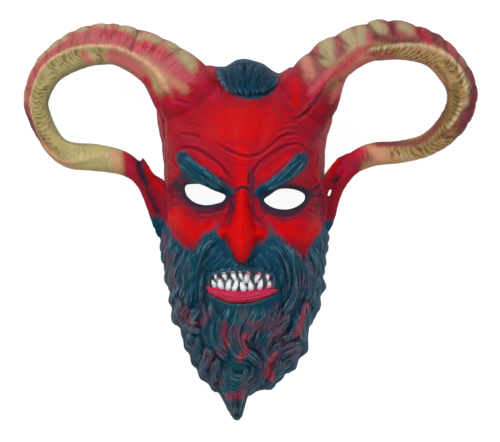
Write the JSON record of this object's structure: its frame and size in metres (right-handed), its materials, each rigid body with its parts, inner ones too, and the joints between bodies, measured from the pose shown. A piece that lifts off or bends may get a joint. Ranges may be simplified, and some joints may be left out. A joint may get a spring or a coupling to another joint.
{
  "type": "devil mask",
  "caption": "Full-face devil mask in moulded latex with a hooked nose, bared fangs, a long wavy beard and two big ridged horns that loop out from the forehead and back into pointed ears.",
  "frame": {"origin": "middle of the footprint, on the plane of the rim that the mask lies on", "axes": "+Z is the way the face looks, +Y towards the crown, +X to the right of someone looking at the face"},
  "size_m": [0.407, 0.3632, 0.1192],
  "materials": {
    "painted_latex": "hand-painted, satin"
  },
  "bodies": {
    "root": {"mask": "painted_latex"}
  },
  "joints": []
}
